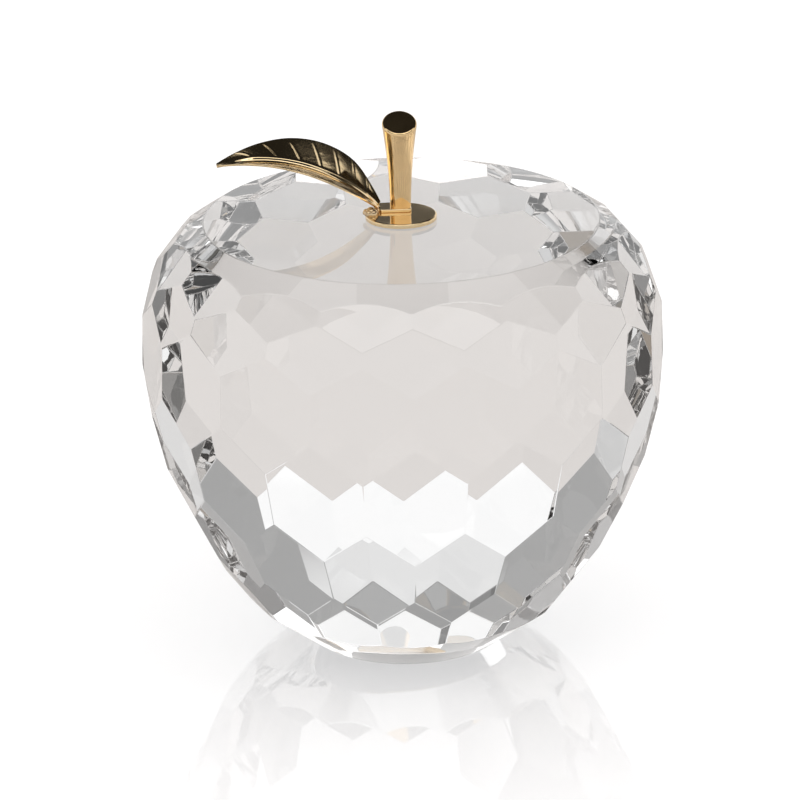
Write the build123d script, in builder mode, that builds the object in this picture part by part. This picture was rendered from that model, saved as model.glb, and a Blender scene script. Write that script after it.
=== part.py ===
"""Faceted crystal apple with a gold stem and leaf, standing on its flat foot."""

import os
from math import cos, radians, sin, tan

from build123d import *

os.makedirs("parts", exist_ok=True)

# Sizes in millimetres, angles in degrees. The origin is the centre of the flat foot, the
# leaf points to -X and the side seen from the front faces -Y.

# Crystal body
crystal_radius = 40.0  # corners of the widest ring of facets
crystal_height = 67.2  # foot to polished table
table_radius = 30.1
table_bevel_angle = 34.0  # smooth bevel under the table, from the horizontal
foot_radius = 15.3
foot_bevel_angle = 37.3  # smooth cone over the foot, from the horizontal
facets_per_ring = 16
# Middle of each ring of facets from the table down: its height, the distance of its flats
# from the axis, and how far the flats lean towards the axis above them
ring_height_shares = (0.902, 0.834, 0.697, 0.470, 0.273, 0.106)
ring_radius_shares = (0.924, 0.964, 0.980, 0.923, 0.788, 0.607)
ring_leans = (40.0, 20.5, 1.8, -13.2, -25.9, -35.8)

# Gold disc on its clear adhesive film
disc_radius = 5.45
disc_thickness = 0.65
disc_rim_round = 0.25
film_thickness = 0.15
film_margin = 0.5  # the film stops this far inside the rim of the disc

# Stem, with a tenon that goes through the shank of the leaf and the disc
stem_setback = 2.1  # behind the middle of the disc
stem_foot_radius = 1.6
stem_waist_radius = 2.0
stem_waist_height = 7.4
stem_cap_radius = 2.8
stem_height = 13.3  # shank to the middle of the slanted cap
cap_slant = 24.0  # the cap faces the front
cap_rim_round = 0.45
tenon_radius = 0.9
tenon_clearance = 0.03

# Leaf: a folded blade on an arched midrib, with a flat shank on the disc
leaf_reach = 24.4  # shank end to tip, along X
leaf_rise = 7.6  # top of the arched midrib over the disc
leaf_half_width = 5.4
leaf_thickness = 0.5
leaf_fold = 20.0  # each half rises this much from the midrib
leaf_roll = 15.0  # the whole blade is rolled towards the front
midrib_height = 0.4
midrib_half_width = 0.4
shank_thickness = 0.55
shank_half_width = 1.75
shank_reach = 3.4  # stem axis to the root of the blade
shank_end = 1.6  # stem axis to the free end, past the stem
shank_corner = 0.6
# Stations along the blade from root to tip, with its width at each
blade_station_shares = (0.0, 0.12, 0.28, 0.46, 0.64, 0.80, 0.92, 1.0)
blade_width_shares = (0.20, 0.52, 0.90, 1.0, 0.88, 0.60, 0.30, 0.06)
# Arch of the midrib: where its control points lie along the reach and up the rise
arch_reach_shares = (0.0, 0.22, 0.52, 1.0)
arch_rise_shares = (0.0, 0.62, 1.27, 0.95)

# Rough solder knob on the disc, under the root of the blade
knob_radius = 0.92
knob_reach = 4.6  # middle of the disc to the knob
knob_lift = 0.2  # its middle over the disc
knob_lump_share = 0.7  # radius of its side lumps
knob_lumps = 5
knob_turn = 20.0

# Levels of the stack above the foot
film_level = crystal_height
disc_level = film_level + film_thickness
shank_level = disc_level + disc_thickness
stem_level = shank_level + shank_thickness


# Crystal body: the turned apple blank, then the rings of facets cut into it
cone_top = (crystal_radius - foot_radius) * tan(radians(foot_bevel_angle))
bevel_drop = (crystal_radius - table_radius) * tan(radians(table_bevel_angle))
with BuildPart() as crystal_body:
    with BuildSketch(Plane.XZ):
        with BuildLine():
            Polyline(
                (0, 0),
                (foot_radius, 0),
                (crystal_radius, cone_top),
                (crystal_radius, crystal_height - bevel_drop),
                (table_radius, crystal_height),
                (0, crystal_height),
                close=True,
            )
        make_face()
    revolve(axis=Axis.Z)
    for ring, height_share in enumerate(ring_height_shares):
        # The flats are continued down to the floor, where their outline is drawn
        lean = ring_leans[ring]
        flat_radius = crystal_radius * ring_radius_shares[ring]
        floor_radius = flat_radius + crystal_height * height_share * tan(radians(lean))
        half_facet_turn = 180 / facets_per_ring if ring % 2 else 0
        with BuildSketch(Plane.XY):
            RegularPolygon(
                radius=floor_radius,
                side_count=facets_per_ring,
                major_radius=False,
                rotation=half_facet_turn,
            )
        extrude(amount=crystal_height, taper=lean, mode=Mode.INTERSECT)

# Adhesive film between the table and the disc
with BuildPart() as adhesive_film:
    with BuildSketch(Plane.XY.offset(film_level)):
        Circle(disc_radius - film_margin)
    extrude(amount=film_thickness)

# Disc with a rounded rim and a hole for the tenon of the stem
with BuildPart() as base_disc:
    with BuildSketch(Plane.XY.offset(disc_level)):
        Circle(disc_radius)
    extrude(amount=disc_thickness)
    fillet(base_disc.faces().sort_by(Axis.Z)[-1].edges(), disc_rim_round)
    with BuildSketch(Plane.XY.offset(disc_level)):
        with Locations((0, stem_setback)):
            Circle(tenon_radius + tenon_clearance)
    extrude(amount=disc_thickness, mode=Mode.SUBTRACT)

# Stem: flared body cut by a slanted plane, rounded at the cap, with its tenon
flare_rise = 2 * stem_cap_radius * tan(radians(cap_slant))
flare_lean = (stem_cap_radius - stem_waist_radius) / (stem_height - stem_waist_height)
flare_height = stem_height + flare_rise
flare_radius = stem_cap_radius + flare_rise * flare_lean
foot_point = (stem_setback + stem_foot_radius, stem_level)
waist_point = (stem_setback + stem_waist_radius, stem_level + stem_waist_height)
flare_point = (stem_setback + flare_radius, stem_level + flare_height)
cap_plane = Plane(
    origin=(0, stem_setback, stem_level + stem_height),
    z_dir=(0, -sin(radians(cap_slant)), cos(radians(cap_slant))),
)
with BuildPart() as stem:
    with BuildSketch(Plane.YZ):
        with BuildLine():
            Spline(foot_point, waist_point, flare_point)
            Polyline(
                flare_point,
                (stem_setback, stem_level + flare_height),
                (stem_setback, stem_level),
                foot_point,
            )
        make_face()
    revolve(axis=Axis((0, stem_setback, 0), (0, 0, 1)))
    split(bisect_by=cap_plane, keep=Keep.BOTTOM)
    fillet(stem.faces().sort_by(Axis.Z)[-1].edges(), cap_rim_round)
    with BuildSketch(Plane.XY.offset(disc_level)):
        with Locations((0, stem_setback)):
            Circle(tenon_radius)
    extrude(amount=stem_level - disc_level)

# Arched midrib line of the blade, from its root over the disc to the tip
root_x = -shank_reach
arch_points = [
    (root_x - leaf_reach * reach, shank_level + shank_thickness + leaf_rise * rise)
    for reach, rise in zip(arch_reach_shares, arch_rise_shares)
]
with BuildLine(Plane.XZ.offset(-stem_setback)) as midrib_line:
    Bezier(*arch_points)


def blade_section(station_share, width_share):
    """Folded cross-section of the blade, square to the midrib at one station."""
    half_width = leaf_half_width * width_share
    edge_x = half_width * cos(radians(leaf_fold))
    edge_rise = half_width * sin(radians(leaf_fold))
    rib_x = min(midrib_half_width, edge_x / 2)
    rib_rise = rib_x * tan(radians(leaf_fold))
    station = Plane(
        origin=midrib_line.line @ station_share,
        x_dir=(0, -1, 0),
        z_dir=midrib_line.line % station_share,
    ).rotated((0, 0, leaf_roll))
    with BuildSketch(station) as section:
        with BuildLine():
            Polyline(
                (-edge_x, edge_rise),
                (-rib_x, rib_rise),
                (0, midrib_height),
                (rib_x, rib_rise),
                (edge_x, edge_rise),
                (edge_x, edge_rise - leaf_thickness),
                (0, -leaf_thickness),
                (-edge_x, edge_rise - leaf_thickness),
                close=True,
            )
        make_face()
    return section.sketch


# Leaf: lofted blade on its shank, with the hole for the tenon
with BuildPart() as leaf:
    loft(
        [
            blade_section(station_share, width_share)
            for station_share, width_share in zip(blade_station_shares, blade_width_shares)
        ]
    )
    with BuildSketch(Plane.XY.offset(shank_level)):
        with Locations(((shank_end - shank_reach) / 2, stem_setback)):
            RectangleRounded(shank_end + shank_reach, 2 * shank_half_width, shank_corner)
    extrude(amount=shank_thickness)
    with BuildSketch(Plane.XY.offset(shank_level)):
        with Locations((0, stem_setback)):
            Circle(tenon_radius + tenon_clearance)
    extrude(amount=shank_thickness, mode=Mode.SUBTRACT)

# Solder knob: a lump with smaller lumps round it, cut flat where it lies on the disc
with BuildPart() as leaf_solder:
    with Locations((-knob_reach, 0, shank_level + knob_lift)):
        Sphere(knob_radius)
        with PolarLocations(knob_radius * knob_lump_share, knob_lumps, start_angle=knob_turn):
            Sphere(knob_radius * knob_lump_share)
    split(bisect_by=Plane.XY.offset(shank_level), keep=Keep.TOP)
    add(leaf.part, mode=Mode.SUBTRACT)

for piece, name in (
    (crystal_body, "crystal_body"),
    (adhesive_film, "adhesive_film"),
    (base_disc, "base_disc"),
    (stem, "stem"),
    (leaf, "leaf"),
    (leaf_solder, "leaf_solder"),
):
    piece.part.label = name
    export_step(piece.part, f"parts/{name}.step")
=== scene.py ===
"""Looks, light and camera of a faceted crystal apple with a gold stem and leaf."""

import logging
import math
from dataclasses import dataclass
from enum import Enum

import bmesh
import bpy
from mathutils import Matrix, Vector


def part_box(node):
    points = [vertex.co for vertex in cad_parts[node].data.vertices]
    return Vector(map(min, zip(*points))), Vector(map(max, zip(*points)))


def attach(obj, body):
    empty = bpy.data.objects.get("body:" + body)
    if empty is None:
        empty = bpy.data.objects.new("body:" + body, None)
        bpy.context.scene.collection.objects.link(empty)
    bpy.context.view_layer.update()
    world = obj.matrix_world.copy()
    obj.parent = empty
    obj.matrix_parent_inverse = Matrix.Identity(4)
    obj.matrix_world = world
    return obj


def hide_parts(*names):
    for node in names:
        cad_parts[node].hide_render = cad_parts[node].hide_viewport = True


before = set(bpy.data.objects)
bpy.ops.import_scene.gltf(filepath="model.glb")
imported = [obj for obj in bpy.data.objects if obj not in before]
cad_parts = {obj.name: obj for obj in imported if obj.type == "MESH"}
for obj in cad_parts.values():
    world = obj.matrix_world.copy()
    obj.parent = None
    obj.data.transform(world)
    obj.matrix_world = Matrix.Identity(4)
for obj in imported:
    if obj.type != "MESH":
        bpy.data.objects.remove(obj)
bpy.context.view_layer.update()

LOG = logging.getLogger("crystal_apple")
ROOT = "root"
MM = 0.001
CUT_TOLERANCE = 1e-7
MERGE_DISTANCE = 1e-6

Colour = tuple[float, float, float]
Place = tuple[float, float, float]
Levels = tuple[tuple[float, Colour], ...]
Socket = bpy.types.NodeSocket


# Node helpers


@dataclass(frozen=True)
class Step:
    """Where a smooth step starts, at 0, and where it ends, at 1."""

    start: float
    end: float


class NodeSheet:
    """A node tree that is filled from an empty sheet."""

    def __init__(self, tree: bpy.types.NodeTree) -> None:
        """Clears the tree.

        Args:
            tree: the node tree to fill.
        """
        self.tree = tree
        self.tree.nodes.clear()

    def add(self, kind: str, **settings: object) -> bpy.types.Node:
        """Adds one node.

        Args:
            kind: the node's type name.
            settings: attributes set on the node.

        Returns:
            The new node.
        """
        node = self.tree.nodes.new(kind)
        for name, value in settings.items():
            setattr(node, name, value)
        return node

    def link(self, source: Socket, target: Socket) -> None:
        """Links an output socket to an input socket."""
        self.tree.links.new(source, target)

    def math(self, operation: str, first: object, second: object = 0.0) -> Socket:
        """Adds a math node.

        Args:
            operation: the node's operation.
            first: a socket or a number.
            second: a socket or a number.

        Returns:
            The node's output socket.
        """
        node = self.add("ShaderNodeMath", operation=operation)
        for socket, value in zip(node.inputs, (first, second)):
            if isinstance(value, Socket):
                self.link(value, socket)
            else:
                socket.default_value = value
        return node.outputs[0]

    def smooth(self, value: Socket, step: Step) -> Socket:
        """Adds a smooth step.

        Args:
            value: the socket that is stepped.
            step: where the step starts and ends.

        Returns:
            The step's socket.
        """
        node = self.add("ShaderNodeMapRange", interpolation_type="SMOOTHSTEP")
        node.inputs["From Min"].default_value = step.start
        node.inputs["From Max"].default_value = step.end
        self.link(value, node.inputs["Value"])
        return node.outputs["Result"]

    def blend(self, factor: Socket, first: Socket, second: Socket) -> Socket:
        """Mixes two colours.

        Args:
            factor: the second colour's share.
            first: the first colour.
            second: the second colour.

        Returns:
            The mixed colour's socket.
        """
        node = self.add("ShaderNodeMixRGB")
        self.link(factor, node.inputs["Fac"])
        self.link(first, node.inputs["Color1"])
        self.link(second, node.inputs["Color2"])
        return node.outputs["Color"]

    def ramp(self, factor: Socket, stops: Levels) -> Socket:
        """Adds a colour ramp.

        Args:
            factor: the socket that drives the ramp.
            stops: each stop's place and colour.

        Returns:
            The ramp's colour socket.
        """
        node = self.add("ShaderNodeValToRGB")
        elements = node.color_ramp.elements
        while len(elements) < len(stops):
            elements.new(1.0)
        for element, (place, colour) in zip(elements, stops):
            element.position = place
            element.color = (*colour, 1.0)
        self.link(factor, node.inputs["Fac"])
        return node.outputs["Color"]

    def paint(self, colour: Colour) -> Socket:
        """Adds a plain colour.

        Args:
            colour: the colour.

        Returns:
            Its socket.
        """
        node = self.add("ShaderNodeRGB")
        node.outputs[0].default_value = (*colour, 1.0)
        return node.outputs[0]

    def glow(self, colour: Colour, strength: object = 1.0) -> Socket:
        """Adds a glow.

        Args:
            colour: the glow's colour.
            strength: a socket or a number.

        Returns:
            The glow's shader socket.
        """
        node = self.add("ShaderNodeEmission")
        node.inputs["Color"].default_value = (*colour, 1.0)
        if isinstance(strength, Socket):
            self.link(strength, node.inputs["Strength"])
        else:
            node.inputs["Strength"].default_value = strength
        return node.outputs["Emission"]

    def sum(self, first: Socket, second: Socket) -> Socket:
        """Adds one shader's light to another's.

        Args:
            first: the first shader's socket.
            second: the second shader's socket.

        Returns:
            The sum's shader socket.
        """
        node = self.add("ShaderNodeAddShader")
        self.link(first, node.inputs[0])
        self.link(second, node.inputs[1])
        return node.outputs["Shader"]

    def mix(self, factor: Socket, first: Socket, second: Socket) -> Socket:
        """Mixes two shaders.

        Args:
            factor: the second shader's share.
            first: the first shader's socket.
            second: the second shader's socket.

        Returns:
            The mixed shader's socket.
        """
        node = self.add("ShaderNodeMixShader")
        self.link(factor, node.inputs["Fac"])
        self.link(first, node.inputs[1])
        self.link(second, node.inputs[2])
        return node.outputs["Shader"]

    def show(self, surface: Socket, kind: str = "ShaderNodeOutputMaterial") -> None:
        """Makes a shader the tree's surface."""
        self.link(surface, self.add(kind).inputs["Surface"])


def new_finish(name: str) -> tuple[bpy.types.Material, NodeSheet]:
    """Makes an empty material.

    Args:
        name: the material's name.

    Returns:
        The material and the sheet of its nodes.
    """
    material = bpy.data.materials.new(name)
    material.use_nodes = True
    return material, NodeSheet(material.node_tree)


def grey(level: float) -> Colour:
    """Returns a neutral colour of the given level."""
    return (level, level, level)


# Finishes


@dataclass(frozen=True)
class CrystalGlass:
    """Clear lead crystal with polished facets."""

    name: str = "clear_crystal"
    tint: Colour = (0.995, 0.998, 1.0)
    ior: float = 1.53
    polish_roughness: float = 0.0
    ripple_scale: float = 260.0
    ripple_height: float = 0.0000012

    def build(self) -> bpy.types.Material:
        """Builds the glass, with the faint ripple that polishing leaves.

        Returns:
            Its material.
        """
        material, sheet = new_finish(self.name)
        shader = sheet.add("ShaderNodeBsdfPrincipled")
        shader.inputs["Base Color"].default_value = (*self.tint, 1.0)
        shader.inputs["Roughness"].default_value = self.polish_roughness
        shader.inputs["IOR"].default_value = self.ior
        shader.inputs["Transmission Weight"].default_value = 1.0
        place = sheet.add("ShaderNodeTexCoord")
        noise = sheet.add("ShaderNodeTexNoise")
        noise.inputs["Scale"].default_value = self.ripple_scale
        sheet.link(place.outputs["Object"], noise.inputs["Vector"])
        bump = sheet.add("ShaderNodeBump")
        bump.inputs["Distance"].default_value = self.ripple_height
        sheet.link(noise.outputs["Fac"], bump.inputs["Height"])
        sheet.link(bump.outputs["Normal"], shader.inputs["Normal"])
        sheet.show(shader.outputs["BSDF"])
        return material


@dataclass(frozen=True)
class ClearAdhesive:
    """Thin clear adhesive under the gold disc."""

    name: str = "clear_adhesive_film"
    tint: Colour = (0.96, 0.95, 0.90)
    roughness: float = 0.08
    ior: float = 1.48
    cloud_scale: float = 900.0

    def build(self) -> bpy.types.Material:
        """Builds the adhesive, a little cloudy in patches.

        Returns:
            Its material.
        """
        material, sheet = new_finish(self.name)
        shader = sheet.add("ShaderNodeBsdfPrincipled")
        shader.inputs["Base Color"].default_value = (*self.tint, 1.0)
        shader.inputs["IOR"].default_value = self.ior
        shader.inputs["Transmission Weight"].default_value = 1.0
        noise = sheet.add("ShaderNodeTexNoise")
        noise.inputs["Scale"].default_value = self.cloud_scale
        cloud = sheet.math("MULTIPLY", noise.outputs["Fac"], self.roughness)
        sheet.link(cloud, shader.inputs["Roughness"])
        sheet.show(shader.outputs["BSDF"])
        return material


class GoldGrain(Enum):
    """How the surface of a gold piece is worked."""

    POLISHED = "polished"
    DRAWN_LINES = "drawn lines"
    ROUGH_CAST = "rough cast"


@dataclass(frozen=True)
class GoldPlate:
    """Gold plate over cast metal."""

    name: str
    grain: GoldGrain
    roughness: float
    grain_height: float
    colour: Colour = (0.84, 0.65, 0.39)
    worn_colour: Colour = (0.74, 0.56, 0.32)
    roughness_spread: float = 0.05
    rough_range: Step = Step(0.4, 0.7)
    grain_scale: float = 900.0
    grain_detail: float = 5.0
    line_stretch: float = 0.02
    wear_scale: float = 160.0
    wear_detail: float = 4.0
    wear_range: Step = Step(0.35, 0.55)

    def grain_stretch(self) -> Place:
        """Finds how the grain is stretched.

        Returns:
            The grain's scale along X, Y and Z.
        """
        if self.grain is GoldGrain.DRAWN_LINES:
            return (1.0, 1.0, self.line_stretch)
        return (1.0, 1.0, 1.0)

    def build(self) -> bpy.types.Material:
        """Builds the plate, with its grain and slightly worn patches.

        Returns:
            Its material.
        """
        material, sheet = new_finish(self.name)
        shader = sheet.add("ShaderNodeBsdfPrincipled")
        shader.inputs["Metallic"].default_value = 1.0
        place = sheet.add("ShaderNodeTexCoord")
        wear = sheet.add("ShaderNodeTexNoise")
        wear.inputs["Scale"].default_value = self.wear_scale
        wear.inputs["Detail"].default_value = self.wear_detail
        sheet.link(place.outputs["Object"], wear.inputs["Vector"])
        patches = (
            (self.wear_range.start, self.worn_colour),
            (self.wear_range.end, self.colour),
        )
        colour = sheet.ramp(wear.outputs["Fac"], patches)
        sheet.link(colour, shader.inputs["Base Color"])
        rough = sheet.add("ShaderNodeMapRange")
        rough.inputs["From Min"].default_value = self.rough_range.start
        rough.inputs["From Max"].default_value = self.rough_range.end
        rough.inputs["To Min"].default_value = self.roughness
        rough.inputs["To Max"].default_value = self.roughness + self.roughness_spread
        sheet.link(wear.outputs["Fac"], rough.inputs["Value"])
        sheet.link(rough.outputs["Result"], shader.inputs["Roughness"])
        stretch = sheet.add("ShaderNodeMapping")
        stretch.inputs["Scale"].default_value = self.grain_stretch()
        sheet.link(place.outputs["Object"], stretch.inputs["Vector"])
        grain = sheet.add("ShaderNodeTexNoise")
        grain.inputs["Scale"].default_value = self.grain_scale
        grain.inputs["Detail"].default_value = self.grain_detail
        sheet.link(stretch.outputs["Vector"], grain.inputs["Vector"])
        bump = sheet.add("ShaderNodeBump")
        bump.inputs["Distance"].default_value = self.grain_height
        sheet.link(grain.outputs["Fac"], bump.inputs["Height"])
        sheet.link(bump.outputs["Normal"], shader.inputs["Normal"])
        sheet.show(shader.outputs["BSDF"])
        return material


# Mesh helpers


def new_piece(
    name: str, mesh: bpy.types.Mesh, material: bpy.types.Material
) -> bpy.types.Object:
    """Makes an object of a mesh, in one material.

    Args:
        name: the object's name.
        mesh: its mesh.
        material: its finish.

    Returns:
        The new object, in the scene.
    """
    mesh.materials.clear()
    mesh.materials.append(material)
    piece = bpy.data.objects.new(name, mesh)
    bpy.context.scene.collection.objects.link(piece)
    return piece


def mesh_from(shape: bmesh.types.BMesh, name: str, smooth: bool) -> bpy.types.Mesh:
    """Writes a bmesh to a new mesh and frees it.

    Args:
        shape: the bmesh.
        name: the mesh's name.
        smooth: whether its faces are shaded smooth.

    Returns:
        The new mesh.
    """
    bmesh.ops.recalc_face_normals(shape, faces=shape.faces)
    for face in shape.faces:
        face.smooth = smooth
    mesh = bpy.data.meshes.new(name)
    shape.to_mesh(mesh)
    shape.free()
    return mesh


def settle_modifiers(piece: bpy.types.Object) -> None:
    """Replaces a piece's mesh by the result of its modifiers.

    Args:
        piece: the piece.
    """
    depsgraph = bpy.context.evaluated_depsgraph_get()
    result = bpy.data.meshes.new_from_object(
        piece.evaluated_get(depsgraph), depsgraph=depsgraph
    )
    piece.modifiers.clear()
    old = piece.data
    piece.data = result
    result.name = old.name
    bpy.data.meshes.remove(old)


@dataclass(frozen=True)
class EdgeRound:
    """A narrow round along the edges of a piece that turn more than an angle."""

    name: str
    width: float
    segments: int
    angle: float
    even_shading: bool

    def cut(self, piece: bpy.types.Object) -> None:
        """Rounds the edges and settles the mesh.

        Args:
            piece: the piece that is rounded.
        """
        bevel = piece.modifiers.new(self.name, "BEVEL")
        bevel.width = self.width
        bevel.segments = self.segments
        bevel.limit_method = "ANGLE"
        bevel.angle_limit = math.radians(self.angle)
        bevel.harden_normals = self.even_shading
        settle_modifiers(piece)


def dress_node(node: str, material: bpy.types.Material) -> None:
    """Puts a finish on a solid that is shown as it is.

    Args:
        node: the solid's name.
        material: its finish.
    """
    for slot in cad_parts[node].material_slots:
        slot.material = material


# Sub-assemblies


@dataclass
class FacetRing:
    """One ring of flat facets, each size a share of the body's own."""

    height_share: float
    radius_share: float
    lean: float


@dataclass
class CrystalBody:
    """Solid crystal apple: a turned blank with rings of flat facets cut into it."""

    table_radius: float = 30.1 * MM
    table_bevel_angle: float = 34.0
    foot_radius: float = 15.3 * MM
    foot_bevel_angle: float = 37.3
    facets_per_ring: int = 16
    turned_steps_per_facet: int = 6
    edges: EdgeRound = EdgeRound("polished_edges", 0.15 * MM, 2, 6.0, True)
    rings: tuple[FacetRing, ...] = (
        FacetRing(0.902, 0.924, 40.0),
        FacetRing(0.834, 0.964, 20.5),
        FacetRing(0.697, 0.980, 1.8),
        FacetRing(0.470, 0.923, -13.2),
        FacetRing(0.273, 0.788, -25.9),
        FacetRing(0.106, 0.607, -35.8),
    )

    def __post_init__(self) -> None:
        """Takes the overall size from the solid."""
        _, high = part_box("crystal_body")
        self.radius = high.x
        self.height = high.z

    def profile(self) -> list[tuple[float, float]]:
        """Finds the outline that is turned round the axis.

        Returns:
            Its points from the foot up, as radius and height.
        """
        reach = self.radius - self.foot_radius
        cone_top = reach * math.tan(math.radians(self.foot_bevel_angle))
        reach = self.radius - self.table_radius
        drop = reach * math.tan(math.radians(self.table_bevel_angle))
        return [
            (self.foot_radius, 0.0),
            (self.radius, cone_top),
            (self.radius, self.height - drop),
            (self.table_radius, self.height),
        ]

    def turn_blank(self) -> bmesh.types.BMesh:
        """Turns the profile round the axis and closes the foot and the table.

        Returns:
            The blank.
        """
        shape = bmesh.new()
        steps = self.facets_per_ring * self.turned_steps_per_facet
        loops = []
        for radius, height in self.profile():
            loop = [
                shape.verts.new(
                    (
                        radius * math.cos(math.tau * step / steps),
                        radius * math.sin(math.tau * step / steps),
                        height,
                    )
                )
                for step in range(steps)
            ]
            loops.append(loop)
        for lower, upper in zip(loops, loops[1:]):
            for step in range(steps):
                following = (step + 1) % steps
                shape.faces.new(
                    (lower[step], lower[following], upper[following], upper[step])
                )
        shape.faces.new(list(reversed(loops[0])))
        shape.faces.new(loops[-1])
        return shape

    def cut_ring(self, shape: bmesh.types.BMesh, ring: FacetRing, turned: bool) -> None:
        """Cuts one ring of facets.

        Args:
            shape: the blank so far.
            ring: the ring to cut.
            turned: whether the ring is turned half a facet.
        """
        lean = math.radians(ring.lean)
        pitch = math.tau / self.facets_per_ring
        first = 0.0 if turned else pitch / 2
        for facet in range(self.facets_per_ring):
            angle = first + facet * pitch
            outward = Vector((math.cos(angle), math.sin(angle), 0.0))
            middle = outward * (self.radius * ring.radius_share)
            middle.z = self.height * ring.height_share
            normal = outward * math.cos(lean)
            normal.z = math.sin(lean)
            everything = shape.verts[:] + shape.edges[:] + shape.faces[:]
            cut = bmesh.ops.bisect_plane(
                shape,
                geom=everything,
                dist=CUT_TOLERANCE,
                plane_co=middle,
                plane_no=normal,
                clear_outer=True,
            )
            rim = [e for e in cut["geom_cut"] if isinstance(e, bmesh.types.BMEdge)]
            if len(rim) > 2:
                bmesh.ops.contextual_create(shape, geom=rim)

    def build(self, glass: bpy.types.Material) -> bpy.types.Object:
        """Builds the body with finely polished edges.

        Args:
            glass: its finish.

        Returns:
            The crystal, in place of its solid.
        """
        shape = self.turn_blank()
        for index, ring in enumerate(self.rings):
            self.cut_ring(shape, ring, turned=index % 2 == 1)
        bmesh.ops.remove_doubles(shape, verts=shape.verts, dist=MERGE_DISTANCE)
        bmesh.ops.dissolve_degenerate(shape, edges=shape.edges, dist=MERGE_DISTANCE)
        crystal = new_piece("crystal_apple", mesh_from(shape, "crystal_apple", True), glass)
        self.edges.cut(crystal)
        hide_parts("crystal_body")
        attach(crystal, ROOT)
        return crystal


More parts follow.
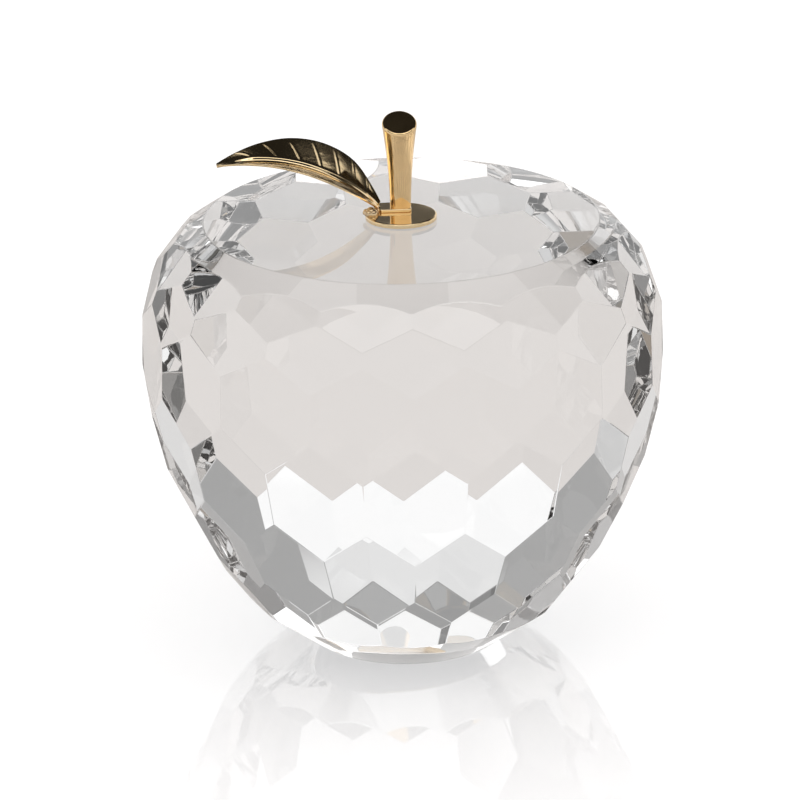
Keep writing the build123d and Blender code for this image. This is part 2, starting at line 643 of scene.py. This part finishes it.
@dataclass
class LeafBlade:
    """Arched, folded leaf with a midrib and slanting veins, and its shank on the disc."""

    setback: float = 2.1 * MM
    shank_thickness: float = 0.55 * MM
    reach: float = 24.4 * MM
    rise: float = 7.6 * MM
    half_width: float = 5.4 * MM
    thickness: float = 0.5 * MM
    fold: float = 20.0
    roll: float = 15.0
    rim_thickness_share: float = 0.6
    rib_height: float = 0.6 * MM
    rib_half_width: float = 0.4 * MM
    line_height: float = 0.035 * MM
    line_pitch: float = 0.95 * MM
    vein_count: int = 8
    vein_slant: float = 0.10
    vein_height: float = 0.05 * MM
    vein_half_width: float = 0.032
    pad_height: float = 0.06 * MM
    pad_flattening: float = 1.7
    flattest_pad_share: float = 0.1
    rib_fade_widths: float = 2.0
    rim_fade_power: int = 6
    tip_fade: float = 6.0
    root_fade: float = 8.0
    shank_reach: float = 3.4 * MM
    shank_half_width: float = 1.75 * MM
    shank_end: float = 1.6 * MM
    shank_corner: float = 0.6 * MM
    shank_corner_steps: int = 6
    blade_rim: EdgeRound = EdgeRound("worn_rim", 0.12 * MM, 2, 50.0, False)
    shank_rim: EdgeRound = EdgeRound("soft_rim", 0.14 * MM, 3, 40.0, True)
    steps_along: int = 200
    tangent_step: float = 0.001
    steps_across: int = 64
    middle_crowding: float = 1.5
    arch_shares: tuple[tuple[float, float], ...] = (
        (0.0, 0.0),
        (0.22, 0.62),
        (0.52, 1.27),
        (1.0, 0.95),
    )
    width_shares: tuple[tuple[float, float], ...] = (
        (0.0, 0.20),
        (0.12, 0.52),
        (0.28, 0.90),
        (0.46, 1.0),
        (0.64, 0.88),
        (0.80, 0.60),
        (0.92, 0.30),
        (1.0, 0.06),
    )

    def __post_init__(self) -> None:
        """Takes the level of the shank from the disc."""
        _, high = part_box("base_disc")
        self.disc_top = high.z

    def arch_point(self, along: float) -> Vector:
        """Finds a point of the arched midrib.

        Args:
            along: share of the blade's length.

        Returns:
            The point.
        """
        corners = [
            Vector(
                (
                    -self.shank_reach - self.reach * reach,
                    self.setback,
                    self.disc_top + self.shank_thickness + self.rise * rise,
                )
            )
            for reach, rise in self.arch_shares
        ]
        while len(corners) > 1:
            corners = [a.lerp(b, along) for a, b in zip(corners, corners[1:])]
        return corners[0]

    def width_at(self, along: float) -> float:
        """Finds the blade's half width, on a smooth curve through its stations.

        Args:
            along: share of the blade's length.

        Returns:
            The half width in metres.
        """
        stations = self.width_shares
        for index in range(len(stations) - 1):
            (low, low_width), (high, high_width) = stations[index], stations[index + 1]
            if along <= high:
                before = stations[max(index - 1, 0)]
                after = stations[min(index + 2, len(stations) - 1)]
                span = high - low
                t = (along - low) / span
                slope_low = (high_width - before[1]) / (high - before[0]) * span
                slope_high = (after[1] - low_width) / (after[0] - low) * span
                share = (
                    (2 * t**3 - 3 * t**2 + 1) * low_width
                    + (t**3 - 2 * t**2 + t) * slope_low
                    + (3 * t**2 - 2 * t**3) * high_width
                    + (t**3 - t**2) * slope_high
                )
                return self.half_width * share
        return self.half_width * stations[-1][1]

    def relief(self, along: float, across: float) -> float:
        """Finds the height of the top's relief over the folded sheet.

        The midrib is raised. The far half has slanting veins with flattened pads between
        them, and the near half has fine lines along the blade.

        Args:
            along: share of the blade's length.
            across: place across the blade, -1 the far edge and 1 the near one.

        Returns:
            The height in metres.
        """
        offset = abs(across) * self.width_at(along)
        rib = self.rib_height * math.exp(-((offset / self.rib_half_width) ** 2))
        phase = (along - self.vein_slant * abs(across)) * self.vein_count % 1.0 - 0.5
        vein = self.vein_height * math.exp(-((phase / self.vein_half_width) ** 2))
        pad = self.pad_height * (1.0 - (2.0 * abs(abs(phase) - 0.5)) ** 2)
        pad *= max(self.flattest_pad_share, 1.0 - self.pad_flattening * along)
        fade = min(1.0, offset / (self.rib_fade_widths * self.rib_half_width))
        fade *= 1.0 - abs(across) ** self.rim_fade_power
        end_fade = min(1.0, self.tip_fade * (1.0 - along)) * min(1.0, self.root_fade * along)
        lines = self.line_height * math.cos(math.tau * offset / self.line_pitch)
        field = lines if across > 0 else vein + pad
        return (rib + field * fade) * end_fade

    def surface_point(self, along: float, across: float, under: bool) -> Vector:
        """Returns a point of the blade's top or underside.

        Args:
            along: share of the blade's length.
            across: place across the blade, -1 the far edge and 1 the near one.
            under: whether the point is on the underside.

        Returns:
            The point.
        """
        centre = self.arch_point(along)
        ahead = self.arch_point(min(1.0, along + self.tangent_step))
        behind = self.arch_point(max(0.0, along - self.tangent_step))
        tangent = (ahead - behind).normalized()
        sideways = Vector((0.0, -1.0, 0.0))
        upward = tangent.cross(sideways).normalized()
        if upward.z < 0:
            upward.negate()
        turn = Matrix.Rotation(math.radians(-self.roll), 3, tangent)
        if (turn @ sideways).z > 0:
            turn = Matrix.Rotation(math.radians(self.roll), 3, tangent)
        sideways = turn @ sideways
        upward = turn @ upward
        offset = across * self.width_at(along)
        fold = math.radians(self.fold)
        lift = abs(offset) * math.sin(fold)
        if under:
            lift -= self.thickness * (1.0 - (1.0 - self.rim_thickness_share) * across**2)
        else:
            lift += self.relief(along, across)
        return centre + sideways * (offset * math.cos(fold)) + upward * lift

    def blade_side(
        self, shape: bmesh.types.BMesh, under: bool
    ) -> list[list[bmesh.types.BMVert]]:
        """Adds the points of the blade's top or underside, closer together at the midrib.

        Args:
            shape: the blade so far.
            under: whether it is the underside.

        Returns:
            The points, one row for each step along the blade.
        """
        even = [2 * j / self.steps_across - 1 for j in range(self.steps_across + 1)]
        places = [math.copysign(abs(x) ** self.middle_crowding, x) for x in even]
        return [
            [
                shape.verts.new(self.surface_point(i / self.steps_along, place, under))
                for place in places
            ]
            for i in range(self.steps_along + 1)
        ]

    def rim_steps(self) -> list[tuple[int, int]]:
        """Goes once round the blade's outline.

        Returns:
            Each point's step along the blade and its step across.
        """
        rim = [(i, 0) for i in range(self.steps_along + 1)]
        rim += [(self.steps_along, j) for j in range(1, self.steps_across + 1)]
        rim += [(i, self.steps_across) for i in range(self.steps_along - 1, -1, -1)]
        rim += [(0, j) for j in range(self.steps_across - 1, 0, -1)]
        return rim

    def build_blade(self, gold: bpy.types.Material) -> bpy.types.Object:
        """Builds the blade as a closed, thin sheet.

        Args:
            gold: its finish.

        Returns:
            The blade.
        """
        shape = bmesh.new()
        top, bottom = [self.blade_side(shape, under) for under in (False, True)]
        for i in range(self.steps_along):
            for j in range(self.steps_across):
                corners = ((i, j), (i + 1, j), (i + 1, j + 1), (i, j + 1))
                shape.faces.new([top[a][b] for a, b in corners])
                shape.faces.new([bottom[a][b] for a, b in reversed(corners)])
        rim = self.rim_steps()
        for here, there in zip(rim, rim[1:] + rim[:1]):
            shape.faces.new(
                (
                    top[here[0]][here[1]],
                    bottom[here[0]][here[1]],
                    bottom[there[0]][there[1]],
                    top[there[0]][there[1]],
                )
            )
        blade = new_piece("leaf_blade", mesh_from(shape, "leaf_blade", True), gold)
        self.blade_rim.cut(blade)
        return blade

    def shank_outline(self) -> list[tuple[float, float]]:
        """Draws the shank's rounded rectangle round the stem's axis.

        Returns:
            Its points.
        """
        corner = self.shank_corner
        inner_y = self.shank_half_width - corner
        corners = (
            (self.shank_end - corner, inner_y, 0.0),
            (corner - self.shank_reach, inner_y, 90.0),
            (corner - self.shank_reach, -inner_y, 180.0),
            (self.shank_end - corner, -inner_y, 270.0),
        )
        outline = []
        for x, y, start in corners:
            for step in range(self.shank_corner_steps + 1):
                angle = math.radians(start + 90.0 * step / self.shank_corner_steps)
                outline.append((x + corner * math.cos(angle), y + corner * math.sin(angle)))
        return outline

    def build_shank(self, gold: bpy.types.Material) -> bpy.types.Object:
        """Builds the flat shank that lies on the disc under the foot of the stem.

        Args:
            gold: its finish.

        Returns:
            The shank.
        """
        shape = bmesh.new()
        base = [
            shape.verts.new((x, y + self.setback, self.disc_top))
            for x, y in self.shank_outline()
        ]
        face = shape.faces.new(base)
        lifted = bmesh.ops.extrude_face_region(shape, geom=[face])
        raised = [v for v in lifted["geom"] if isinstance(v, bmesh.types.BMVert)]
        bmesh.ops.translate(shape, verts=raised, vec=(0, 0, self.shank_thickness))
        shank = new_piece("leaf_shank", mesh_from(shape, "leaf_shank", True), gold)
        self.shank_rim.cut(shank)
        return shank

    def build(self, gold: bpy.types.Material) -> list[bpy.types.Object]:
        """Builds the blade and the shank in place of the leaf's solid.

        Args:
            gold: their finish.

        Returns:
            The two pieces.
        """
        pieces = [self.build_blade(gold), self.build_shank(gold)]
        for piece in pieces:
            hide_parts("leaf")
            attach(piece, ROOT)
        return pieces


# Studio


def stage_card(name: str, mesh: bpy.types.Mesh, level: float) -> bpy.types.Object:
    """Makes a card of a mesh, which only mirroring surfaces show.

    Args:
        name: the card's name.
        mesh: its mesh.
        level: how dark or bright it is, with 1 for white.

    Returns:
        The card, unseen by the camera and through the glass.
    """
    material, sheet = new_finish(name)
    sheet.show(sheet.glow(grey(level)))
    card = new_piece(name, mesh, material)
    card.visible_camera = False
    card.visible_diffuse = False
    card.visible_shadow = False
    card.visible_transmission = False
    return card


@dataclass
class DarkCard:
    """A dark curved card, a patch of a sphere, that gives the gold something dark to show.

    Its angles are in degrees: low and high over the horizon, left and right from the back.
    """

    name: str
    radius: float
    low: float
    high: float
    left: float
    right: float
    level: float
    centre: Place = (0.0, 0.0, 0.068)
    steps: int = 24

    def build(self) -> bpy.types.Object:
        """Builds the card.

        Returns:
            The card, unseen by the camera and through the glass.
        """
        shape = bmesh.new()
        rows = []
        for i in range(self.steps + 1):
            elevation = math.radians(self.low + (self.high - self.low) * i / self.steps)
            row = []
            for j in range(self.steps + 1):
                azimuth = math.radians(self.left + (self.right - self.left) * j / self.steps)
                direction = Vector(
                    (
                        math.sin(azimuth) * math.cos(elevation),
                        math.cos(azimuth) * math.cos(elevation),
                        math.sin(elevation),
                    )
                )
                row.append(shape.verts.new(Vector(self.centre) + direction * self.radius))
            rows.append(row)
        for lower, upper in zip(rows, rows[1:]):
            for j in range(self.steps):
                shape.faces.new((lower[j], lower[j + 1], upper[j + 1], upper[j]))
        return stage_card(self.name, mesh_from(shape, self.name, True), self.level)


@dataclass
class RoundCard:
    """A small upright round card, dark for the gold disc or bright for an upper facet."""

    name: str
    centre: Place
    half_width: float
    half_height: float
    level: float
    steps: int = 48

    def build(self) -> bpy.types.Object:
        """Builds the card.

        Returns:
            The card, unseen by the camera and through the glass.
        """
        shape = bmesh.new()
        rim = []
        for step in range(self.steps):
            angle = math.tau * step / self.steps
            offset = Vector(
                (self.half_width * math.cos(angle), 0.0, self.half_height * math.sin(angle))
            )
            rim.append(shape.verts.new(Vector(self.centre) + offset))
        shape.faces.new(rim)
        return stage_card(self.name, mesh_from(shape, self.name, False), self.level)


@dataclass(frozen=True)
class StudioLamp:
    """A soft rectangular lamp, aimed at the fittings."""

    name: str
    place: Place
    width: float
    depth: float
    power: float
    target: Place = (0.0, 0.0, 0.07)

    def build(self) -> bpy.types.Object:
        """Builds the lamp.

        Returns:
            The lamp, unseen by the camera.
        """
        data = bpy.data.lights.new(self.name, "AREA")
        data.shape = "RECTANGLE"
        data.size = self.width
        data.size_y = self.depth
        data.energy = self.power
        lamp = bpy.data.objects.new(self.name, data)
        lamp.location = self.place
        toward = Vector(self.target) - lamp.location
        lamp.rotation_euler = toward.to_track_quat("-Z", "Y").to_euler()
        lamp.visible_camera = False
        bpy.context.scene.collection.objects.link(lamp)
        return lamp


@dataclass
class Floor:
    """Pale floor that mirrors the object softly near its foot."""

    half_size: float = 3.0
    colour: Colour = (0.705, 0.672, 0.650)
    # painted shade: the front of the floor, seen through the glass, takes this darker colour
    shade_colour_in_glass: Colour = (0.53, 0.52, 0.51)
    front_fade: Step = Step(-0.06, 0.03)
    lift: Colour = (0.42, 0.44, 0.46)
    foot_light: Colour = (0.72, 0.72, 0.72)
    foot_light_fade: Step = Step(23.0 * MM, 14.0 * MM)
    foot_edge: float = 15.4 * MM
    mirror_roughness: float = 0.02
    reflection_near: float = 0.42
    reflection_far: float = 0.12
    reflection_reach: float = 0.085

    def matt_paint_and_shade(self, sheet: NodeSheet, path: bpy.types.Node, backward: Socket) -> Socket:
        """Makes the paint, with painted shade that darkens the front of the floor where it is
        seen through the glass.

        Args:
            sheet: the sheet of the floor's nodes.
            path: its light path node.
            backward: the place on the floor from front to back.

        Returns:
            The paint's shader socket.
        """
        # painted shade, only where the front of the floor is seen through the glass
        front = sheet.math("SUBTRACT", 1.0, sheet.smooth(backward, self.front_fade))
        painted_shade_mask = sheet.math("MULTIPLY", front, path.outputs["Is Transmission Ray"])
        colour = sheet.blend(
            painted_shade_mask, sheet.paint(self.colour), sheet.paint(self.shade_colour_in_glass)
        )
        matt = sheet.add("ShaderNodeBsdfDiffuse")
        sheet.link(colour, matt.inputs["Color"])
        return matt.outputs["BSDF"]

    def foot_glow(self, sheet: NodeSheet, path: bpy.types.Node, distance: Socket) -> Socket:
        """Makes the light that the solid glass throws on the floor under its foot.

        The renderer loses that light. The glow is seen through the glass, and outside the
        foot it is also mirrored by the glass.

        Args:
            sheet: the sheet of the floor's nodes.
            path: its light path node.
            distance: the distance from the middle of the foot.

        Returns:
            The glow's shader socket.
        """
        outside_foot = sheet.math("GREATER_THAN", distance, self.foot_edge)
        mirrored = sheet.math("MULTIPLY", outside_foot, path.outputs["Is Glossy Ray"])
        seen = sheet.math("ADD", path.outputs["Is Transmission Ray"], mirrored)
        fade = sheet.smooth(distance, self.foot_light_fade)
        return sheet.glow(self.foot_light, sheet.math("MULTIPLY", fade, seen))

    def mirror_share(self, sheet: NodeSheet, path: bpy.types.Node, distance: Socket) -> Socket:
        """Finds how much of the floor's look is its reflection, which fades with distance.

        Args:
            sheet: the sheet of the floor's nodes.
            path: its light path node.
            distance: the distance from the middle of the foot.

        Returns:
            The share's socket, 0 for every ray that isn't the camera's own.
        """
        fade = sheet.add("ShaderNodeMapRange")
        fade.inputs["From Max"].default_value = self.reflection_reach
        fade.inputs["To Min"].default_value = self.reflection_near
        fade.inputs["To Max"].default_value = self.reflection_far
        sheet.link(distance, fade.inputs["Value"])
        return sheet.math("MULTIPLY", fade.outputs["Result"], path.outputs["Is Camera Ray"])

    def build_finish(self) -> bpy.types.Material:
        """Builds the floor's paint, glow and soft reflection.

        Returns:
            Its material.
        """
        material, sheet = new_finish("pale_floor")
        path = sheet.add("ShaderNodeLightPath")
        place = sheet.add("ShaderNodeTexCoord")
        parts = sheet.add("ShaderNodeSeparateXYZ")
        sheet.link(place.outputs["Object"], parts.inputs["Vector"])
        length = sheet.add("ShaderNodeVectorMath", operation="LENGTH")
        sheet.link(place.outputs["Object"], length.inputs[0])
        distance = length.outputs["Value"]
        paint = self.matt_paint_and_shade(sheet, path, parts.outputs["Y"])
        lift = sheet.glow(self.lift, path.outputs["Is Camera Ray"])
        lit = sheet.sum(paint, sheet.sum(lift, self.foot_glow(sheet, path, distance)))
        mirror = sheet.add("ShaderNodeBsdfGlossy")
        mirror.inputs["Roughness"].default_value = self.mirror_roughness
        share = self.mirror_share(sheet, path, distance)
        sheet.show(sheet.mix(share, lit, mirror.outputs["BSDF"]))
        return material

    def build(self) -> bpy.types.Object:
        """Builds the floor.

        Returns:
            The floor.
        """
        shape = bmesh.new()
        half = self.half_size
        corners = [
            shape.verts.new((x * half, y * half, 0.0))
            for x, y in ((-1, -1), (1, -1), (1, 1), (-1, 1))
        ]
        shape.faces.new(corners)
        mesh = mesh_from(shape, "pale_floor", False)
        floor = new_piece("pale_floor", mesh, self.build_finish())
        return floor


@dataclass
class Surround:
    """White surround that is seen in steps of grey through the glass.

    The levels go by height, from 0 at the horizon to 1 overhead, in four zones: behind the
    object, at its shoulders, at its sides and in front of it, where they are a little warm
    low down. A dark panel stands at the left. Backward and leftward are shares of the level
    part of a direction.
    """

    back_levels: Levels = (
        (0.0, grey(1.0)),
        (0.12, grey(1.0)),
        (0.13, grey(0.80)),
        (0.20, grey(0.78)),
        (0.215, grey(0.34)),
        (0.39, grey(0.33)),
        (0.42, grey(0.93)),
        (0.62, grey(0.86)),
        (0.86, grey(0.80)),
        (0.90, grey(0.33)),
    )
    shoulder_levels: Levels = (
        (0.0, grey(0.36)),
        (0.44, grey(0.38)),
        (0.50, grey(0.75)),
        (0.80, grey(0.80)),
        (0.90, grey(0.33)),
    )
    side_levels: Levels = (
        (0.0, grey(0.75)),
        (0.2, grey(0.70)),
        (0.5, grey(0.60)),
        (0.62, grey(0.25)),
        (1.0, grey(0.20)),
    )
    front_levels: Levels = (
        (0.0, (0.30, 0.29, 0.28)),
        (0.10, (0.27, 0.22, 0.17)),
        (0.22, (0.18, 0.17, 0.15)),
        (0.3, grey(0.14)),
        (0.55, grey(0.20)),
        (1.0, grey(0.25)),
    )
    front_start: Step = Step(-0.10, 0.20)
    behind_start: Step = Step(0.68, 0.74)
    back_start: Step = Step(0.935, 0.95)
    low_back_start: Step = Step(0.855, 0.885)
    low_back_height: Step = Step(0.105, 0.095)
    panel_level: float = 0.12
    panel_leftward: Step = Step(0.36, 0.42)
    panel_backward: Step = Step(-0.15, 0.0)
    panel_foot: Step = Step(0.395, 0.41)
    panel_head: Step = Step(0.80, 0.74)
    matt_bounces_below: float = 0.5

    def zones(self, sheet: NodeSheet, backward: Socket, height: Socket) -> Socket:
        """Paints the four zones.

        Args:
            sheet: the sheet of the surround's nodes.
            backward: how far a direction points to the back.
            height: how far it points up.

        Returns:
            Their colour's socket.
        """
        forward = sheet.math("MULTIPLY", backward, -1.0)
        sides = sheet.blend(
            sheet.smooth(forward, self.front_start),
            sheet.ramp(height, self.side_levels),
            sheet.ramp(height, self.front_levels),
        )
        low_back = sheet.math(
            "MULTIPLY",
            sheet.smooth(backward, self.low_back_start),
            sheet.smooth(height, self.low_back_height),
        )
        behind = sheet.blend(
            sheet.math("MAXIMUM", low_back, sheet.smooth(backward, self.back_start)),
            sheet.ramp(height, self.shoulder_levels),
            sheet.ramp(height, self.back_levels),
        )
        return sheet.blend(sheet.smooth(backward, self.behind_start), sides, behind)

    def panel_share(
        self, sheet: NodeSheet, leftward: Socket, backward: Socket, height: Socket
    ) -> Socket:
        """Finds where the dark panel at the left stands.

        Args:
            sheet: the sheet of the surround's nodes.
            leftward: how far a direction points to the left.
            backward: how far it points to the back.
            height: how far it points up.

        Returns:
            The panel's share, from 0 to 1.
        """
        across = sheet.math(
            "MULTIPLY",
            sheet.smooth(leftward, self.panel_leftward),
            sheet.smooth(backward, self.panel_backward),
        )
        upright = sheet.math(
            "MULTIPLY",
            sheet.smooth(height, self.panel_foot),
            sheet.smooth(height, self.panel_head),
        )
        return sheet.math("MULTIPLY", across, upright)

    def build(self) -> bpy.types.World:
        """Builds the surround, in grey for rays through the glass and white for all others.

        Returns:
            The scene's world.
        """
        world = bpy.data.worlds.new("white_surround")
        world.use_nodes = True
        bpy.context.scene.world = world
        sheet = NodeSheet(world.node_tree)
        place = sheet.add("ShaderNodeTexCoord")
        parts = sheet.add("ShaderNodeSeparateXYZ")
        sheet.link(place.outputs["Generated"], parts.inputs["Vector"])
        height = parts.outputs["Z"]
        level_square = sheet.math("SUBTRACT", 1.0, sheet.math("MULTIPLY", height, height))
        level_part = sheet.math("SQRT", level_square)
        backward = sheet.math("DIVIDE", parts.outputs["Y"], level_part)
        left = sheet.math("MULTIPLY", parts.outputs["X"], -1.0)
        leftward = sheet.math("DIVIDE", left, level_part)
        seen = sheet.blend(
            self.panel_share(sheet, leftward, backward, height),
            self.zones(sheet, backward, height),
            sheet.paint(grey(self.panel_level)),
        )
        white = sheet.add("ShaderNodeBackground")
        white.inputs["Color"].default_value = (1.0, 1.0, 1.0, 1.0)
        through_glass = sheet.add("ShaderNodeBackground")
        sheet.link(seen, through_glass.inputs["Color"])
        path = sheet.add("ShaderNodeLightPath")
        matt_bounces = path.outputs["Diffuse Depth"]
        not_from_floor = sheet.math("LESS_THAN", matt_bounces, self.matt_bounces_below)
        share = sheet.math("MULTIPLY", path.outputs["Is Transmission Ray"], not_from_floor)
        surface = sheet.mix(
            share, white.outputs["Background"], through_glass.outputs["Background"]
        )
        sheet.show(surface, "ShaderNodeOutputWorld")
        return world


@dataclass
class StudioCamera:
    """Camera at the picture's own angle."""

    distance: float = 0.712
    elevation: float = 20.9
    azimuth: float = -2.2
    roll: float = 0.85
    aim: Place = (-0.0006, 0.0, 0.0377)
    pixels_per_metre: float = 6490.0
    picture_side: float = 800.0
    sensor_width: float = 36.0
    clip_start: float = 0.01

    def build(self) -> bpy.types.Object:
        """Builds the camera, with the lens that gives the picture's scale.

        Returns:
            The scene's camera.
        """
        data = bpy.data.cameras.new("camera")
        data.sensor_width = self.sensor_width
        half_view = self.picture_side / 2 / self.pixels_per_metre
        data.lens = self.sensor_width / 2 * self.distance / half_view
        data.clip_start = self.clip_start
        camera = bpy.data.objects.new("camera", data)
        azimuth = math.radians(self.azimuth)
        elevation = math.radians(self.elevation)
        away = Vector(
            (
                math.sin(azimuth) * math.cos(elevation),
                -math.cos(azimuth) * math.cos(elevation),
                math.sin(elevation),
            )
        )
        camera.location = Vector(self.aim) + away * self.distance
        turn = (-away).to_track_quat("-Z", "Y").to_matrix().to_4x4()
        roll = Matrix.Rotation(math.radians(-self.roll), 4, "Z")
        camera.rotation_euler = (turn @ roll).to_euler()
        bpy.context.scene.collection.objects.link(camera)
        bpy.context.scene.camera = camera
        return camera


@dataclass
class Studio:
    """Everything that is not the object: surround, floor, lamps, cards and camera."""

    lamps: tuple[StudioLamp, ...] = (
        StudioLamp("soft_lamp", (-0.5, -0.6, 0.8), 0.5, 0.5, 0.2),
        StudioLamp("strip_lamp", (0.05, -0.20, 0.49), 0.70, 0.18, 0.47),
    )
    dark_cards: tuple[DarkCard, ...] = (
        DarkCard("back_card", 0.17, 24.0, 105.0, -80.0, 80.0, level=0.02),
        DarkCard("front_card", 0.20, 28.0, 50.0, 100.0, 260.0, level=0.03),
    )
    round_cards: tuple[RoundCard, ...] = (
        RoundCard("disc_card", (0.0008, 0.020, 0.0749), 0.0056, 0.0021, level=0.12),
        RoundCard("left_glint_card", (-0.0372, -0.0916, 0.1628), 0.011, 0.012, level=2.0),
        RoundCard("right_glint_card", (0.0461, -0.0894, 0.1609), 0.011, 0.012, level=2.0),
    )
    bounces: int = 24
    glossy_bounces: int = 12

    def build(self) -> None:
        """Builds the studio and lets light pass through the many facets."""
        scene = bpy.context.scene
        scene.view_settings.view_transform = "Standard"
        scene.cycles.max_bounces = self.bounces
        scene.cycles.transmission_bounces = self.bounces
        scene.cycles.glossy_bounces = self.glossy_bounces
        Surround().build()
        Floor().build()
        for part in (*self.lamps, *self.dark_cards, *self.round_cards):
            part.build()
        StudioCamera().build()


# The whole


SOLID_FINISHES: tuple[tuple[str, ClearAdhesive | GoldPlate], ...] = (
    ("adhesive_film", ClearAdhesive()),
    (
        "base_disc",
        GoldPlate(
            "gold_disc_plate", GoldGrain.POLISHED, roughness=0.04, grain_height=0.000003
        ),
    ),
    (
        "stem",
        GoldPlate(
            "gold_stem_plate",
            GoldGrain.DRAWN_LINES,
            roughness=0.08,
            grain_height=0.00003,
            colour=(0.80, 0.58, 0.31),
            worn_colour=(0.74, 0.53, 0.28),
            grain_scale=1800.0,
        ),
    ),
    (
        "leaf_solder",
        GoldPlate(
            "gold_solder",
            GoldGrain.ROUGH_CAST,
            roughness=0.12,
            roughness_spread=0.10,
            grain_height=0.00016,
            colour=(0.62, 0.47, 0.29),
            worn_colour=(0.36, 0.26, 0.16),
            grain_scale=1400.0,
            wear_scale=900.0,
        ),
    ),
)
LEAF_FINISH = GoldPlate(
    "gold_leaf_plate", GoldGrain.POLISHED, roughness=0.05, grain_height=0.000008
)


def main() -> None:
    """Builds the object, then the studio."""
    logging.basicConfig(level=logging.INFO, format="%(name)s: %(message)s")
    LOG.info("built %s", CrystalBody().build(CrystalGlass().build()).name)
    for node, finish in SOLID_FINISHES:
        dress_node(node, finish.build())
        LOG.info("dressed %s", node)
    for piece in LeafBlade().build(LEAF_FINISH.build()):
        LOG.info("built %s", piece.name)
    Studio().build()
    LOG.info("built the studio")


if __name__ == "__main__":
    main()
